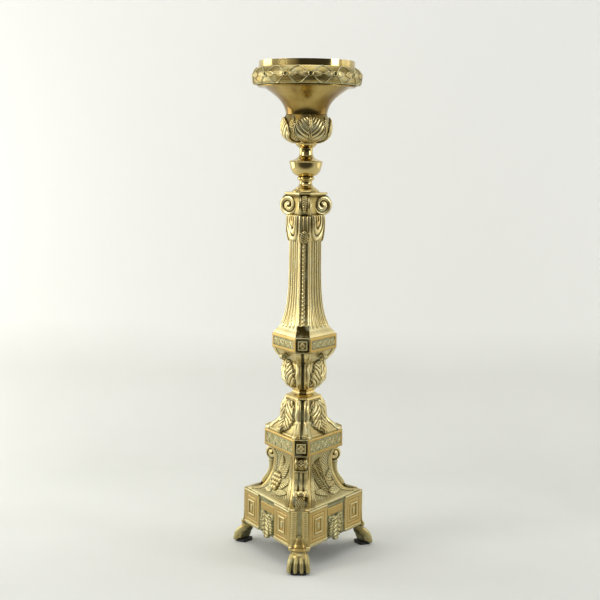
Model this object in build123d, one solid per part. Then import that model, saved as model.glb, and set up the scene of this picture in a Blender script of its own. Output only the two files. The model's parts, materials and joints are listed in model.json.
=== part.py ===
from build123d import *

import os
from math import cos, radians, sin, sqrt

# Three-sided brass altar candlestick on paw feet, a stack of castings held on an iron tie rod.
# Millimetres, +Z up. The origin is on the floor, on the stem's axis. One corner of the
# three-sided base points along -Y, and the corners lie 120 degrees apart.

# Heights where one piece of the stack ends and the next begins, from the floor up.
Z_PLINTH = 33.5
Z_BASE = 84.0
Z_LOWER_BAND = 153.0
Z_DOME = 177.0
Z_WAIST = 226.0
Z_VASE = 243.0
Z_UPPER_BAND = 297.0
Z_SHAFT = 318.0
Z_CAPITAL = 456.0
Z_LOWER_NECK = 519.0
Z_KNOP = 541.0
Z_UPPER_NECK = 573.0
Z_BULB = 590.0
Z_BELL = 627.0
Z_PAN = 667.5
Z_BAND_TOP = 691.0
Z_RIM = 700.0

# The three corners and the three faces between them, as directions in plan.
CORNERS = {"front": -90.0, "right": 30.0, "left": 150.0}
FACES = {"right": -30.0, "back": 90.0, "left": 210.0}

# Fasteners and clearances.
ROD_R = 4.0
ROD_BORE_R = 4.5
THREAD_GAP = 0.05
SCREW_R = 2.0
SCREW_HEAD_R = 3.6
SCREW_HEAD_H = 2.5
SCREW_GAP = 0.2
SCREW_SHORT = 0.5
FIT_GAP = 0.15

# Long enough for a cutter to pass right through any one wall.
THROUGH = 40.0

# Walls of the castings.
CAST_WALL = 3.2
SHEET_WALL = 1.8

# Plinth.
PLINTH_CORNER = 91.0
PLINTH_HALF = 14.2
PLINTH_DECK = 4.0
DECK_INSET = 20.0
RECESS_W = 52.0
RECESS_D = 2.5
LIP_H = 4.0
PANEL_W, PANEL_H, PANEL_D = 34.0, 35.0, 1.6
PAD_W, PAD_H = 18.0, 20.0
BAR_W, BAR_H, BAR_D, BAR_Z = 40.0, 9.0, 2.0, 72.5
GUSSET_H = 6.0
GUSSET_SIDE = 40.0
GUSSET_R = 72.0

# Three-armed bridge that the tie rod pulls up against the plinth's deck.
BRIDGE_H = 6.0
BRIDGE_W = 14.0
BRIDGE_REACH = 84.0
BRIDGE_HUB_R = 15.0
BRIDGE_SCREW_AT = 78.0
BRIDGE_SCREW_DEPTH = 3.0

# Nut that pulls the tie rod down under the bridge.
NUT_AF, NUT_H = 13.0, 6.5
ROD_BOTTOM = 60.0

# Bands.
LOWER_BAND_CORNER, LOWER_BAND_HALF = 59.5, 10.0
LOWER_BAND_HOLLOW, LOWER_BAND_DECK = 11.0, 6.0
UPPER_BAND_CORNER, UPPER_BAND_HALF = 47.5, 10.3
UPPER_BAND_HOLLOW, UPPER_BAND_DECK = 6.5, 5.0
FRIEZE_D = 1.2
FRIEZE_MARGIN = 4.6
PLAQUE_SIDE, PLAQUE_D = 14.0, 1.5

# Scroll brackets on the corners of the base body.
BRACKET_HALF_W = 8.0
BRACKET_ROLL_R, BRACKET_ROLL_AT, BRACKET_ROLL_Z = 9.7, 48.4, 142.0
BRACKET_SCREW_Z = 142.0
BRACKET_SCREW_HEAD = 36.5
BRACKET_SCREW_END = 50.0
BRACKET_HEAD_SUNK = 0.6

# Reliefs on the faces of the base body.
RELIEF_HALF_W, RELIEF_HALF_H, RELIEF_D, RELIEF_Z = 15.0, 23.0, 4.0, 113.0

# Dome, shaft and capital.
DOME_DECK = 8.0
CAPITAL_CORE_R, CAPITAL_CORE_TOP = 14.0, 508.0
Z_ABACUS = 516.0
ABACUS_CORNER, ABACUS_HALF = 30.4, 8.0
SHAFT_TOP_CORNER, SHAFT_TOP_HALF = 21.8, 7.0
SHAFT_WALL = 4.2
FLUTES = 4
FLUTE_LOW, FLUTE_HIGH = 337.0, 444.0
FLUTE_FIELD, FLUTE_SHARE, FLUTE_DEPTH = 0.78, 0.62, 0.75

# Feet.
FOOT_SCREW_AT = 80.0
FOOT_HALF_W = 14.0
TAB_R, TAB_Z = 74.0, 27.0
PAW_R = 112.5
PILASTER_HALF, PILASTER_D = 12.0, 2.5
TOE_R = 4.4
TOE_PITCH = 7.6
PAD_TOP = 4.0
PAD_CORNER_R = 4.0
PAD_INNER, PAD_OUTER, PAD_HALF_W = 92.0, 110.0, 11.0

# Cup.
PAN_R = 67.0
PAN_WALL = 1.6
PAN_HOLE_R = 5.5
BAND_FOOT_R = 67.2
FLANGE_R = 68.3
FLANGE_H = 3.5
FLANGE_INNER_R = 58.0
FLANGE_EDGE = 1.2
BELL_FLOOR = 6.0

# Pricket that screws on the rod and clamps the stack.
ROD_IN_PRICKET = 7.0
PRICKET_AF = 17.0
PRICKET_NUT_H = 9.0
PRICKET_SHANK_R = 4.5
PRICKET_SHANK_H = 6.5
PRICKET_TIP_R = 0.6
PRICKET_TIP_Z = 694.0
WASHER_H = 1.5
WASHER_R = 11.0
PRICKET_FOOT = Z_BELL + BELL_FLOOR + WASHER_H

ROOT3 = sqrt(3.0)


def at(angle, r, side=0.0, z=0.0):
    """The point at distance r in a direction, then moved sideways."""
    a = radians(angle)
    return (r * cos(a) - side * sin(a), r * sin(a) + side * cos(a), z)


def facing(angle, r, z=0.0, side=0.0):
    """A placement whose X looks outward in a direction and whose Z stays up."""
    return Location(at(angle, r, side, z), (0, 0, angle))


def apothem(corner, half):
    """Distance from the axis to the long side of a three-sided section."""
    return corner / 2 + half * ROOT3 / 2


def section(z, corner, half, bow=0.0):
    """Three long sides joined by three short ones. The long sides may bow outward."""
    edges = []
    for a in CORNERS.values():
        near, far = at(a, corner, -half), at(a, corner, half)
        after = at(a + 120, corner, -half)
        middle = at(a + 60, apothem(corner, half) + bow)
        edges.append(Line(near, far))
        edges.append(ThreePointArc(far, middle, after) if bow else Line(far, after))
    return Pos(0, 0, z) * make_face(edges)


def inset(profile, wall):
    """The same three-sided profile with its sides moved inward by wall."""
    step = wall / ROOT3
    return [(z, corner - wall, half - step, *bow) for z, corner, half, *bow in profile]


def three_sided(profile):
    """A smooth solid through three-sided sections given as (z, corner, half, bow)."""
    return loft([section(*row) for row in profile])


def prism(z0, z1, corner, half):
    """A straight three-sided block."""
    return extrude(section(z0, corner, half), z1 - z0)


def disc(r, z0, z1):
    """A plain round block on the axis."""
    return Pos(0, 0, (z0 + z1) / 2) * Cylinder(r, z1 - z0)


def turned(*outline):
    """A solid of revolution from the closed outline of its right half."""
    return revolve(Plane.XZ * make_face(outline), Axis.Z)


def bored(outer, bore):
    """A turned piece from its outside, listed bottom to top, with a straight bore."""
    low, high = outer[0] @ 0, outer[-1] @ 1
    inside = Polyline((high.X, high.Y), (bore, high.Y), (bore, low.Y), (low.X, low.Y))
    return turned(*outer, inside)


def radial_plate(angle, outline, half_w):
    """A plate of even width that stands in the upright plane of a direction."""
    plane = Plane(origin=(0, 0, 0), x_dir=at(angle, 1.0), z_dir=at(angle - 90, 1.0))
    return extrude(plane * make_face(outline), half_w, both=True)


def hexagon_block(across_flats, z0, z1):
    """A hexagonal nut blank on the axis."""
    hexagon = RegularPolygon(across_flats / 2, 6, major_radius=False)
    return extrude(Pos(0, 0, z0) * hexagon, z1 - z0)


# ---- Base -------------------------------------------------------------------------


def base_profile():
    """Sections of the base body, whose faces sweep inward from the plinth."""
    return (
        (Z_BASE, 89.0, 14.0),
        (86.5, 82.5, 13.6),
        (91, 65.5, 12.8),
        (97, 58.0, 12.0),
        (105, 52.5, 11.2),
        (120, 45.5, 10.5),
        (137, 43.0, 10.5),
        (Z_LOWER_BAND, 50.0, 11.0),
    )


def bracket_screw_holes(r, start, stop):
    """Radial drillings behind the three scroll brackets."""
    return [
        facing(a, (start + stop) / 2, BRACKET_SCREW_Z)
        * Rot(0, 90, 0)
        * Cylinder(r, stop - start)
        for a in CORNERS.values()
    ]


def base_body():
    solid = three_sided(base_profile())
    hollow = three_sided(inset(base_profile(), CAST_WALL))
    holes = bracket_screw_holes(SCREW_R + SCREW_GAP, BRACKET_SCREW_HEAD, BRACKET_SCREW_END)
    return solid - hollow - holes


def scroll_bracket(angle):
    """Corner console: a roll under the band, then a strap down the hollow corner."""
    back, neck, foot_r, foot_z = 38.0, 49.5, 64.0, 92.5
    strap = [
        Polyline((foot_r, foot_z), (back, foot_z), (back, BRACKET_ROLL_Z), (neck, BRACKET_ROLL_Z)),
        Spline((neck, BRACKET_ROLL_Z), (neck - 0.3, 124), (54.2, 110), (61.2, 100), (foot_r, foot_z)),
    ]
    roll = facing(angle, BRACKET_ROLL_AT, BRACKET_ROLL_Z) * Rot(90, 0, 0)
    body = radial_plate(angle, strap, BRACKET_HALF_W)
    body += roll * Cylinder(BRACKET_ROLL_R, 2 * BRACKET_HALF_W)
    hole = facing(angle, BRACKET_SCREW_END / 2, BRACKET_SCREW_Z) * Rot(0, 90, 0)
    drilled = hole * Cylinder(SCREW_R + THREAD_GAP, BRACKET_SCREW_END)
    return body - three_sided(base_profile()) - drilled


def bracket_screws():
    head_end = BRACKET_SCREW_HEAD + SCREW_HEAD_H
    seat = head_end - BRACKET_HEAD_SUNK
    heads = bracket_screw_holes(SCREW_HEAD_R, BRACKET_SCREW_HEAD - BRACKET_HEAD_SUNK, seat)
    shanks = bracket_screw_holes(SCREW_R, seat, BRACKET_SCREW_END - SCREW_SHORT)
    return Compound([head + shank for head, shank in zip(heads, shanks)])


def relief(angle):
    """Cast relief that lies on a face of the base body."""
    grown = three_sided(inset(base_profile(), -RELIEF_D))
    outline = Plane.YZ * Ellipse(RELIEF_HALF_W, RELIEF_HALF_H)
    block = facing(angle, 0, RELIEF_Z) * extrude(outline, PLINTH_CORNER)
    return block & grown - three_sided(base_profile())


def plinth():
    outer = prism(Z_PLINTH, Z_BASE, PLINTH_CORNER, PLINTH_HALF)
    inner_half = PLINTH_HALF - CAST_WALL / ROOT3
    hollow = prism(Z_PLINTH, Z_BASE - PLINTH_DECK, PLINTH_CORNER - CAST_WALL, inner_half)
    deck_hole = prism(
        Z_PLINTH, Z_BASE, PLINTH_CORNER - DECK_INSET, PLINTH_HALF - DECK_INSET / ROOT3
    )
    gussets = [
        facing(a, GUSSET_R + GUSSET_SIDE / 2, Z_PLINTH + GUSSET_H / 2)
        * Box(GUSSET_SIDE, GUSSET_SIDE, GUSSET_H)
        for a in CORNERS.values()
    ]
    body = outer - hollow - deck_hole
    for gusset in gussets:
        body += outer & gusset
    face_r = apothem(PLINTH_CORNER, PLINTH_HALF)
    half_side = PLINTH_CORNER * ROOT3 / 2 - PLINTH_HALF / 2
    block_mid = (RECESS_W / 2 + half_side) / 2
    mid_z = (Z_PLINTH + LIP_H + Z_BASE) / 2
    for a in FACES.values():
        body -= facing(a, face_r, (Z_PLINTH + Z_BASE) / 2) * Box(
            2 * RECESS_D, RECESS_W, Z_BASE - Z_PLINTH
        )
        body += facing(a, face_r - RECESS_D, BAR_Z) * Box(2 * BAR_D, BAR_W, BAR_H)
        for side in (-block_mid, block_mid):
            body -= facing(a, face_r, mid_z, side) * Box(2 * PANEL_D, PANEL_W, PANEL_H)
            body += facing(a, face_r - PANEL_D, mid_z, side) * Box(2 * PANEL_D, PAD_W, PAD_H)
    for a in CORNERS.values():
        body -= facing(a, FOOT_SCREW_AT, Z_PLINTH) * Cylinder(SCREW_R + THREAD_GAP, THROUGH)
        body -= facing(a, BRIDGE_SCREW_AT, Z_BASE - PLINTH_DECK) * Cylinder(
            SCREW_R + THREAD_GAP, 2 * BRIDGE_SCREW_DEPTH
        )
    return body


def pendant(angle):
    """Leaf that hangs below the plinth in the middle of a side."""
    top, waist, tip, half, thick = 66.0, 44.0, 26.0, 16.0, 6.0
    outline = [
        Line((-half, top), (half, top)),
        Spline((half, top), (half * 0.9, waist), (0, tip), (-half * 0.9, waist), (-half, top)),
    ]
    back = apothem(PLINTH_CORNER, PLINTH_HALF) - RECESS_D
    return facing(angle, back) * extrude(Plane.YZ * make_face(outline), thick)


# ---- Feet -------------------------------------------------------------------------


def paw_foot(angle):
    """Paw, ankle and the pilaster that lies on the plinth's corner, in one casting."""
    top_r, heel_r, sole_z, skin = 93.5, 84.0, 1.0, 2.4
    middle_toe_lead, outer_toe_fall = 1.8, 1.6
    knuckle, knuckle_r = Pos(-4, 0, 5.5), 0.9 * TOE_R
    arch = [
        Polyline((heel_r, TAB_Z), (TAB_R, TAB_Z), (TAB_R, Z_PLINTH), (top_r, Z_PLINTH)),
        Spline((top_r, Z_PLINTH), (97.5, 26), (105, 18.5), (111.5, 13), (PAW_R, 6)),
        Polyline((PAW_R, 6), (PAW_R, sole_z), (PAW_R - skin, sole_z), (PAW_R - skin, PAD_TOP)),
        Spline((PAW_R - skin, PAD_TOP), (105, 13), (95, 20), (heel_r, TAB_Z)),
    ]
    foot = radial_plate(angle, arch, FOOT_HALF_W)
    for i in (-1.5, -0.5, 0.5, 1.5):
        toe_r = PAW_R - TOE_R + middle_toe_lead - outer_toe_fall * abs(i)
        tip = facing(angle, toe_r, TOE_R + sole_z, i * TOE_PITCH)
        foot += tip * Sphere(TOE_R)
        foot += tip * knuckle * Sphere(knuckle_r)
    strip_h = Z_BASE - Z_PLINTH
    strip = facing(angle, PLINTH_CORNER + PILASTER_D / 2, Z_PLINTH + strip_h / 2)
    foot += strip * Box(PILASTER_D, 2 * PILASTER_HALF, strip_h)
    pad_space = facing(angle, (PAD_INNER + PAD_OUTER) / 2, PAD_TOP / 2) * Box(
        PAD_OUTER - PAD_INNER, 2 * PAD_HALF_W, PAD_TOP
    )
    screw_hole = facing(angle, FOOT_SCREW_AT, Z_PLINTH) * Cylinder(SCREW_R + SCREW_GAP, THROUGH)
    return foot - pad_space - screw_hole


def foot_pad(angle):
    """Dark pad in the hollow of a paw, flat on the floor."""
    size = (PAD_OUTER - PAD_INNER, 2 * PAD_HALF_W)
    blank = extrude(RectangleRounded(*size, PAD_CORNER_R), PAD_TOP)
    return facing(angle, (PAD_INNER + PAD_OUTER) / 2) * blank


def foot_screws():
    top = Z_PLINTH + GUSSET_H
    head_z = TAB_Z - SCREW_HEAD_H
    screws = []
    for a in CORNERS.values():
        head = Pos(0, 0, head_z + SCREW_HEAD_H / 2) * Cylinder(SCREW_HEAD_R, SCREW_HEAD_H)
        shank = Pos(0, 0, (TAB_Z + top) / 2) * Cylinder(SCREW_R, top - TAB_Z)
        screws.append(facing(a, FOOT_SCREW_AT) * (head + shank))
    return Compound(screws)


# ---- Bridge, rod and nuts -----------------------------------------------------------


def base_bridge():
    top = Z_BASE - PLINTH_DECK
    mid = top - BRIDGE_H / 2
    body = disc(BRIDGE_HUB_R, top - BRIDGE_H, top)
    for a in CORNERS.values():
        body += facing(a, BRIDGE_REACH / 2, mid) * Box(BRIDGE_REACH, BRIDGE_W, BRIDGE_H)
        body -= facing(a, BRIDGE_SCREW_AT, mid) * Cylinder(SCREW_R + SCREW_GAP, THROUGH)
    return body - disc(ROD_BORE_R, 0, Z_BASE)


def bridge_screws():
    under = Z_BASE - PLINTH_DECK - BRIDGE_H
    end = Z_BASE - PLINTH_DECK + BRIDGE_SCREW_DEPTH - SCREW_SHORT
    screws = []
    for a in CORNERS.values():
        head = Pos(0, 0, under - SCREW_HEAD_H / 2) * Cylinder(SCREW_HEAD_R, SCREW_HEAD_H)
        shank = Pos(0, 0, (under + end) / 2) * Cylinder(SCREW_R, end - under)
        screws.append(facing(a, BRIDGE_SCREW_AT) * (head + shank))
    return Compound(screws)


def base_washer():
    top = Z_BASE - PLINTH_DECK - BRIDGE_H
    return disc(WASHER_R, top - WASHER_H, top) - disc(ROD_BORE_R, 0, Z_BASE)


def base_nut():
    top = Z_BASE - PLINTH_DECK - BRIDGE_H - WASHER_H
    blank = hexagon_block(NUT_AF, top - NUT_H, top)
    return blank - disc(ROD_R + THREAD_GAP, 0, Z_BASE)


def tie_rod():
    return disc(ROD_R, ROD_BOTTOM, PRICKET_FOOT + ROD_IN_PRICKET)


def pricket_washer():
    low = Z_BELL + BELL_FLOOR
    return disc(WASHER_R, low, low + WASHER_H) - disc(ROD_BORE_R, Z_BELL, Z_PAN)


def pricket():
    nut_top = PRICKET_FOOT + PRICKET_NUT_H
    shank_top = nut_top + PRICKET_SHANK_H
    spike_h = PRICKET_TIP_Z - shank_top
    blank = hexagon_block(PRICKET_AF, PRICKET_FOOT, nut_top)
    shank = disc(PRICKET_SHANK_R, nut_top, shank_top)
    spike = Pos(0, 0, shank_top + spike_h / 2) * Cone(PRICKET_SHANK_R, PRICKET_TIP_R, spike_h)
    thread_end = PRICKET_FOOT + ROD_IN_PRICKET + SCREW_SHORT
    thread = disc(ROD_R + THREAD_GAP, PRICKET_FOOT, thread_end)
    return blank + shank + spike - thread


# ---- Three-sided stem ---------------------------------------------------------------


def frieze_band(z0, z1, corner, half, hollow_inset, deck):
    """A three-sided band: sunk friezes on its sides and raised plaques on its corners."""
    body = prism(z0, z1, corner, half)
    body -= prism(z0, z1 - deck, corner - hollow_inset, half - hollow_inset / ROOT3)
    side_len = 2 * (corner * ROOT3 / 2 - half / 2)
    mid = (z0 + z1) / 2
    for a in FACES.values():
        body -= facing(a, apothem(corner, half), mid) * Box(
            2 * FRIEZE_D, side_len - 2 * FRIEZE_MARGIN, z1 - z0 - 2 * FRIEZE_MARGIN
        )
    for a in CORNERS.values():
        body += facing(a, corner, mid) * Box(2 * PLAQUE_D, PLAQUE_SIDE, PLAQUE_SIDE)
    return body - disc(ROD_BORE_R, z0, z1)


def lower_band():
    size = (LOWER_BAND_CORNER, LOWER_BAND_HALF)
    return frieze_band(Z_LOWER_BAND, Z_DOME, *size, LOWER_BAND_HOLLOW, LOWER_BAND_DECK)


def upper_band():
    size = (UPPER_BAND_CORNER, UPPER_BAND_HALF)
    return frieze_band(Z_UPPER_BAND, Z_SHAFT, *size, UPPER_BAND_HOLLOW, UPPER_BAND_DECK)


def hollow_casting(profile, wall, deck):
    """A three-sided casting, open below and closed by a thick deck with the rod's bore."""
    solid = three_sided(profile)
    top = profile[-1][0]
    core = three_sided(inset([row for row in profile if row[0] <= top - deck], wall))
    return solid - core - disc(ROD_BORE_R, profile[0][0], top)


def leaf_dome():
    profile = (
        (Z_DOME, 57.5, 8.5, 0.3),
        (182, 53.0, 7.8, 0.8),
        (191, 41.2, 6.2, 2.8),
        (198, 35.2, 5.2, 4.8),
        (208, 34.4, 5.0, 6.0),
        (218, 31.8, 5.0, 4.8),
        (Z_WAIST, 25.5, 5.5, 1.5),
    )
    return hollow_casting(profile, CAST_WALL, DOME_DECK)


def waist_moulding():
    """Three-sided moulding drawn in to the narrowest part of the lower stem."""
    neck = (237.0, 15.0, 5.0)
    slope = three_sided(((Z_WAIST, 26.5, 7.0), (228.5, 26.0, 6.8), (232.5, 19.0, 5.6), neck))
    flare = three_sided((neck, (240.5, 18.6, 5.3), (Z_VASE, 21.8, 5.6)))
    return slope + flare - disc(ROD_BORE_R, Z_WAIST, Z_VASE)


def leaf_vase():
    profile = (
        (Z_VASE, 22.0, 5.0, 1.5),
        (248, 27.5, 5.0, 3.2),
        (254, 32.5, 5.0, 5.0),
        (264, 33.6, 5.0, 6.0),
        (279, 31.6, 5.0, 4.4),
        (285, 37.8, 6.2, 2.4),
        (290, 42.6, 7.6, 1.0),
        (Z_UPPER_BAND, 45.5, 9.0, 0.3),
    )
    solid = three_sided(profile)
    core = three_sided(inset(profile[1:], CAST_WALL))
    return solid - core - disc(ROD_BORE_R, Z_VASE, Z_UPPER_BAND)


def fluted_section(z, corner, half):
    """A three-sided section whose long sides carry a row of round flutes."""
    side_half = corner * ROOT3 / 2 - half / 2
    face_r = apothem(corner, half)
    flute = FLUTE_SHARE * side_half / FLUTES
    pitch = 2 * FLUTE_FIELD * side_half / FLUTES
    edges = []
    for a in CORNERS.values():
        edges.append(Line(at(a, corner, -half), at(a, corner, half)))
        here = at(a, corner, half)
        for i in range(FLUTES):
            middle = (i - (FLUTES - 1) / 2) * pitch
            near = at(a + 60, face_r, middle - flute)
            deep = at(a + 60, face_r - flute * FLUTE_DEPTH, middle)
            far = at(a + 60, face_r, middle + flute)
            edges += [Line(here, near), ThreePointArc(near, deep, far)]
            here = far
        edges.append(Line(here, at(a + 120, corner, -half)))
    return Pos(0, 0, z) * make_face(edges)


def shaft():
    """Tapering three-sided shaft with fluted faces that sweep out to the upper band."""
    foot = ((Z_SHAFT, 46.5, 10.2), (322, 43.4, 9.8), (327, 37.6, 9.2), (332, 34.2, 8.8))
    low, high = (FLUTE_LOW, 31.6, 8.4), (FLUTE_HIGH, SHAFT_TOP_CORNER, SHAFT_TOP_HALF)
    fluted = (low, (347, 28.2, 8.0), (362, 25.0, 7.5), (385, 22.9, 7.1), (415, 21.9, 7.0), high)
    body = loft([fluted_section(*row) for row in fluted])
    body += three_sided((*foot, low))
    body += three_sided((high, (Z_CAPITAL, SHAFT_TOP_CORNER, SHAFT_TOP_HALF)))
    core_rows = inset((*foot, low, fluted[1], fluted[3], fluted[4]), SHAFT_WALL)
    core = loft([section(*row) for row in core_rows], ruled=True)
    return body - core - disc(ROD_BORE_R, Z_SHAFT, Z_CAPITAL)


def capital():
    """Capital with a scrolled console on each corner under a three-sided abacus."""
    roll_r, roll_at, roll_z, half_w = 13.0, 25.0, 502.0, 8.5
    drop_r, drop_low, drop_half, drop_back = 27.3, 449.0, 7.5, 22.2
    collar_corner, collar_half = SHAFT_TOP_CORNER + FIT_GAP, SHAFT_TOP_HALF + 0.1
    body = three_sided(
        (
            (Z_CAPITAL, 21.5, 7.0, 1.0),
            (475, 21.8, 7.2, 1.6),
            (495, 21.8, 7.2, 1.6),
            (Z_ABACUS, 25.0, 8.0, 1.0),
        )
    )
    for a in CORNERS.values():
        body += facing(a, roll_at, roll_z) * Rot(90, 0, 0) * Cylinder(roll_r, 2 * half_w)
        drop = [
            Polyline((15, Z_CAPITAL), (15, 495), (drop_r, 495), (drop_r, 459)),
            Spline((drop_r, 459), (26, 452), (drop_back, drop_low)),
            Polyline((drop_back, drop_low), (drop_back, Z_CAPITAL), (15, Z_CAPITAL)),
        ]
        body += radial_plate(a, drop, drop_half)
    body += prism(Z_ABACUS, Z_LOWER_NECK, ABACUS_CORNER, ABACUS_HALF)
    body -= prism(drop_low, Z_CAPITAL, collar_corner, collar_half)
    body -= disc(CAPITAL_CORE_R, Z_CAPITAL, CAPITAL_CORE_TOP)
    return body - disc(ROD_BORE_R, Z_CAPITAL, Z_LOWER_NECK)


# ---- Round stem and cup ---------------------------------------------------------------


def lower_neck():
    """Domed cap on the abacus, a short neck and a bead."""
    outer = [
        Polyline((19.3, Z_LOWER_NECK), (19.3, 520.4)),
        Spline((19.3, 520.4), (17.4, 522.8), (14.6, 524.2)),
        Polyline((14.6, 524.2), (14.6, 525.2)),
        Spline((14.6, 525.2), (10.4, 528.2), (8.8, 532.0), (9.4, 535.6)),
        ThreePointArc((9.4, 535.6), (12.0, 538.3), (9.8, Z_KNOP)),
    ]
    return bored(outer, ROD_BORE_R)


def vase_knop():
    """Bowl with a sharp rim, drawn up to the neck above it."""
    outer = [
        Spline((9.6, Z_KNOP), (15.4, 543.2), (20.2, 549.0), (22.4, 556.0), (23.4, 560.6)),
        Polyline((23.4, 560.6), (23.8, 561.4), (23.4, 562.4)),
        Spline((23.4, 562.4), (17.5, 564.6), (12.0, 567.6), (9.6, Z_UPPER_NECK)),
    ]
    return bored(outer, ROD_BORE_R)


def upper_neck():
    """Neck that opens to a cushion-shaped collar under the leaf bulb."""
    outer = [
        Spline((9.6, Z_UPPER_NECK), (9.2, 577.0), (9.8, 580.8)),
        Polyline((9.8, 580.8), (11.4, 582.0)),
        Spline((11.4, 582.0), (14.6, 585.0), (15.8, 588.0), (15.2, Z_BULB)),
    ]
    return bored(outer, ROD_BORE_R)


def leaf_bulb():
    """Round knop that carries four broad leaves."""
    outer = [
        Spline(
            (18.8, Z_BULB),
            (27.0, 593.5),
            (34.2, 600.5),
            (36.6, 609.5),
            (35.4, 617.0),
            (31.6, 623.2),
            (29.2, Z_BELL),
        )
    ]
    hollow = turned(
        Polyline((ROD_BORE_R, 597), (22, 597)),
        Spline((22, 597), (31.5, 604), (31.5, 614), (25, 621)),
        Polyline((25, 621), (ROD_BORE_R, 621), (ROD_BORE_R, 597)),
    )
    return bored(outer, ROD_BORE_R) - hollow


def bell_cup():
    """Trumpet-shaped cup with a flat flange that carries the pan and the band."""
    underside = Z_PAN - FLANGE_H
    curve = ((28.8, Z_BELL), (31.0, 636.0), (35.5, 644.0), (45.0, 653.5), (59.5, underside))
    inner = [(r - SHEET_WALL - 0.8, z + 0.6) for r, z in curve[1:-1]]
    mouth = (FLANGE_INNER_R, Z_PAN)
    edge = FLANGE_R - FLANGE_EDGE
    floor = Z_BELL + BELL_FLOOR
    return turned(
        Spline(*curve),
        Polyline(curve[-1], (edge, underside)),
        ThreePointArc((edge, underside), (FLANGE_R, underside + FLANGE_H / 2), (edge, Z_PAN)),
        Polyline((edge, Z_PAN), mouth),
        Spline(mouth, *reversed(inner), (26.5, floor)),
        Polyline((26.5, floor), (ROD_BORE_R, floor), (ROD_BORE_R, Z_BELL), curve[0]),
    )


def gallery_band():
    """Convex sheet band around the pan, open inside."""
    outer = ((72.0, Z_PAN), (76.2, 672.5), (77.0, 680.0), (68.9, Z_BAND_TOP))
    floor = Z_PAN + SHEET_WALL
    inner = ((BAND_FOOT_R, Z_BAND_TOP), (75.0, 680.0), (74.2, 672.8), (71.5, floor))
    return turned(
        Line((BAND_FOOT_R, Z_PAN), outer[0]),
        Spline(*outer),
        Line(outer[-1], inner[0]),
        Spline(*inner),
        Polyline(inner[-1], (BAND_FOOT_R, floor), (BAND_FOOT_R, Z_PAN)),
    )


def drip_pan():
    """Loose wax pan with an upright collar and a hole that clears the pricket."""
    inside = PAN_R - PAN_WALL
    body = disc(PAN_R, Z_PAN, Z_RIM) - disc(inside, Z_PAN + PAN_WALL, Z_RIM)
    return body - disc(PAN_HOLE_R, Z_PAN, Z_RIM)


# ---- Output ---------------------------------------------------------------------------


def copies(directions, first, **makers):
    """One copy of a piece in each of three directions, turned from the first one."""
    for label, make in makers.items():
        original = make(directions[first])
        for name, angle in directions.items():
            yield f"{label}_{name}", Rot(0, 0, angle - directions[first]) * original


def pieces():
    """Every node's name with its solid."""
    yield "drip_pan", drip_pan()
    yield "gallery_band", gallery_band()
    yield "bell_cup", bell_cup()
    yield "leaf_bulb", leaf_bulb()
    yield "upper_neck", upper_neck()
    yield "vase_knop", vase_knop()
    yield "lower_neck", lower_neck()
    yield "capital", capital()
    yield "shaft", shaft()
    yield "upper_band", upper_band()
    yield "leaf_vase", leaf_vase()
    yield "waist_moulding", waist_moulding()
    yield "leaf_dome", leaf_dome()
    yield "lower_band", lower_band()
    yield "base_body", base_body()
    yield "plinth", plinth()
    yield from copies(CORNERS, "front", bracket=scroll_bracket, foot=paw_foot, foot_pad=foot_pad)
    yield from copies(FACES, "back", relief=relief, pendant=pendant)
    yield "bracket_screws", bracket_screws()
    yield "foot_screws", foot_screws()
    yield "base_bridge", base_bridge()
    yield "bridge_screws", bridge_screws()
    yield "base_washer", base_washer()
    yield "base_nut", base_nut()
    yield "tie_rod", tie_rod()
    yield "pricket_washer", pricket_washer()
    yield "pricket", pricket()


if __name__ == "__main__":
    os.makedirs("parts", exist_ok=True)
    for name, solid in pieces():
        export_step(solid, f"parts/{name}.step")
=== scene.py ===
import json
from itertools import product
from math import cos, exp, pi, radians, sin, sqrt

import bmesh
import bpy
import numpy as np
from mathutils import Matrix, Vector


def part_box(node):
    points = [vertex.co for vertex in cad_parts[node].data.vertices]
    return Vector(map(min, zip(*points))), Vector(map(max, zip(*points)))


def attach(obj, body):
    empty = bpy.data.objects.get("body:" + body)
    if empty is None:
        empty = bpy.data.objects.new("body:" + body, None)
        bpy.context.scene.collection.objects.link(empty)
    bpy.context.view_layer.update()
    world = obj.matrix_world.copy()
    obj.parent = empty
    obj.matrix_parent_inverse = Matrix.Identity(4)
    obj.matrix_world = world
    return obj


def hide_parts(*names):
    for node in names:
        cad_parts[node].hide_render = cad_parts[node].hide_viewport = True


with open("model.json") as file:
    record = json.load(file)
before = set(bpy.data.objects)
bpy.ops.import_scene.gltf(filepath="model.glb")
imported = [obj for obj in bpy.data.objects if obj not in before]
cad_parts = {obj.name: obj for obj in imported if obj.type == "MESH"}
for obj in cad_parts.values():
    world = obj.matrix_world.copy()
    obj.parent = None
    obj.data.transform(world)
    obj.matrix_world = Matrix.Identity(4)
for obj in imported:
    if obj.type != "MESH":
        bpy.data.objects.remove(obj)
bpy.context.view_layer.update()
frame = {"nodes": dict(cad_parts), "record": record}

# Looks for the three-sided brass altar candlestick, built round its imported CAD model. Shapes are
# worked out in millimetres and written to the meshes in metres. Ornate castings are fine grids
# that follow the CAD's own sections, with their relief raised along the surface. Bare numbers in
# the ornament are millimetres of height, width or pitch, or shares of a face from 0 to 1.

MM = 0.001
ROOT3 = sqrt(3)
CORNERS = (-90, 30, 150)
CORNER_TURNS = {"front": 0, "right": 120, "left": 240}
FACES = {"right": -30, "back": 90, "left": 210}


def low_high(node):
    """Lowest and highest height of a CAD node, in millimetres."""
    low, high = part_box(node)
    return low.z / MM, high.z / MM


# ---- Numbers and curves ----


def unit(x):
    """Values held between 0 and 1."""
    return np.clip(x, 0, 1)


def smooth(x):
    """0 below 0, 1 above 1, and an even S between them."""
    x = unit(x)
    return x * x * (3 - 2 * x)


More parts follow.
